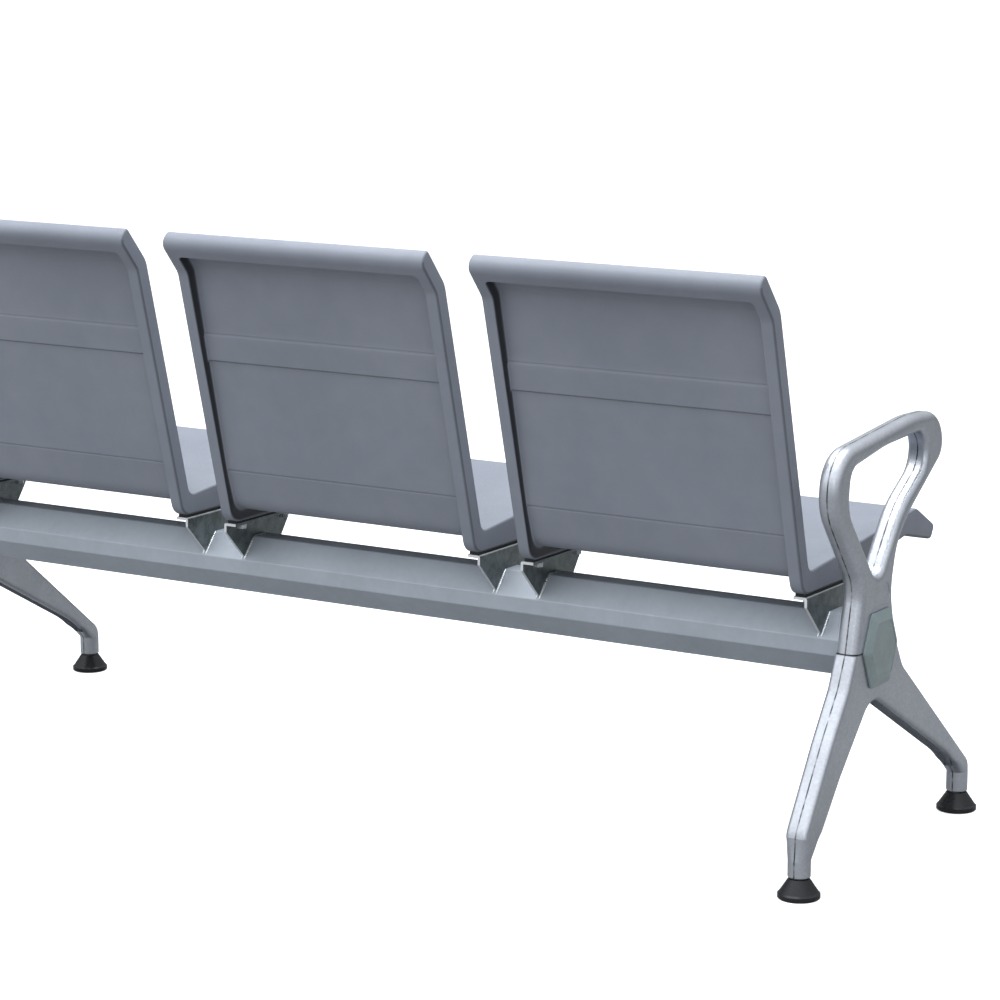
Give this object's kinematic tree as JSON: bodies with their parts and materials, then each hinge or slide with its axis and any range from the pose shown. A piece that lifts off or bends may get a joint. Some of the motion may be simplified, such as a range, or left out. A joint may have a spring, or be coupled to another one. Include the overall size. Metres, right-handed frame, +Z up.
{
  "type": "beam seating",
  "caption": "Waiting-area bench: moulded high-back seats on a steel beam, with cast legs and open-loop arms at its ends",
  "frame": {"origin": "on the floor, in the middle of the feet", "axes": "+X along the bench, to the sitter's left; the sitter faces -Y; +Z up"},
  "size_m": [1.6575, 0.5554, 0.826],
  "materials": {
    "seat_shell": "matte moulded skin with a fine grain",
    "beam_paint": "silver-grey powder coat, satin",
    "bracket_steel": "plated sheet steel with bright cut edges",
    "weld_bead": "weld metal, rippled",
    "cast_aluminium": "die-cast, satin, fine speckle",
    "cap_plastic": "satin grey-green moulding",
    "pad_plastic": "black satin nylon",
    "strip_rubber": "matte black",
    "zinc_steel": "zinc plated",
    "plate_steel": "hot rolled plate",
    "insert_brass": "turned, knurled"
  },
  "bodies": {
    "bench": {"beam_tube": "beam_paint", "bracket_welds": "weld_bead", "seat_bolts": "zinc_steel", "seat_bolt_washers": "zinc_steel", "seat_inserts": "insert_brass", "foot_inserts": "insert_brass", "beam_end_plate_left": "plate_steel", "leg_casting_left": "cast_aluminium", "arm_casting_left": "cast_aluminium", "hub_cap_left": "cap_plastic", "hub_bolts_left": "zinc_steel", "hub_washers_left": "zinc_steel", "beam_end_plate_right": "plate_steel", "leg_casting_right": "cast_aluminium", "arm_casting_right": "cast_aluminium", "hub_cap_right": "cap_plastic", "hub_bolts_right": "zinc_steel", "hub_washers_right": "zinc_steel", "seat_1": "seat_shell", "seat_2": "seat_shell", "seat_3": "seat_shell", "bracket_1": "bracket_steel", "rubber_strip_1": "strip_rubber", "bracket_2": "bracket_steel", "rubber_strip_2": "strip_rubber", "bracket_3": "bracket_steel", "rubber_strip_3": "strip_rubber", "bracket_4": "bracket_steel", "rubber_strip_4": "strip_rubber", "bracket_5": "bracket_steel", "rubber_strip_5": "strip_rubber", "bracket_6": "bracket_steel", "rubber_strip_6": "strip_rubber"},
    "pad_front_left": {"foot_pad_front_left": "pad_plastic"},
    "stem_front_left": {"foot_stem_front_left": "zinc_steel"},
    "pad_front_right": {"foot_pad_front_right": "pad_plastic"},
    "stem_front_right": {"foot_stem_front_right": "zinc_steel"},
    "pad_rear_left": {"foot_pad_rear_left": "pad_plastic"},
    "stem_rear_left": {"foot_stem_rear_left": "zinc_steel"},
    "pad_rear_right": {"foot_pad_rear_right": "pad_plastic"},
    "stem_rear_right": {"foot_stem_rear_right": "zinc_steel"}
  },
  "joints": [
    {"name": "foot_height_front_left", "type": "slide", "parent": "bench", "child": "pad_front_left", "axis": [0, 0, -1], "range_m": [0, 0.012]},
    {"name": "stem_turn_front_left", "type": "hinge", "parent": "pad_front_left", "child": "stem_front_left", "pos_m": [-0.8, -0.249, 0.03], "axis": [0, 0, 1], "range_deg": [0, 2470]},
    {"name": "foot_height_front_right", "type": "slide", "parent": "bench", "child": "pad_front_right", "axis": [0, 0, -1], "range_m": [0, 0.012]},
    {"name": "stem_turn_front_right", "type": "hinge", "parent": "pad_front_right", "child": "stem_front_right", "pos_m": [0.8, -0.249, 0.03], "axis": [0, 0, 1], "range_deg": [0, 2470]},
    {"name": "foot_height_rear_left", "type": "slide", "parent": "bench", "child": "pad_rear_left", "axis": [0, 0, -1], "range_m": [0, 0.012]},
    {"name": "stem_turn_rear_left", "type": "hinge", "parent": "pad_rear_left", "child": "stem_rear_left", "pos_m": [-0.8, 0.249, 0.03], "axis": [0, 0, 1], "range_deg": [0, 2470]},
    {"name": "foot_height_rear_right", "type": "slide", "parent": "bench", "child": "pad_rear_right", "axis": [0, 0, -1], "range_m": [0, 0.012]},
    {"name": "stem_turn_rear_right", "type": "hinge", "parent": "pad_rear_right", "child": "stem_rear_right", "pos_m": [0.8, 0.249, 0.03], "axis": [0, 0, 1], "range_deg": [0, 2470]}
  ],
  "couplings": [
    {"joint": "stem_turn_front_left", "follows": "foot_height_front_left", "rad_per_m": 3590.4},
    {"joint": "stem_turn_front_right", "follows": "foot_height_front_right", "rad_per_m": 3590.4},
    {"joint": "stem_turn_rear_left", "follows": "foot_height_rear_left", "rad_per_m": 3590.4},
    {"joint": "stem_turn_rear_right", "follows": "foot_height_rear_right", "rad_per_m": 3590.4}
  ]
}
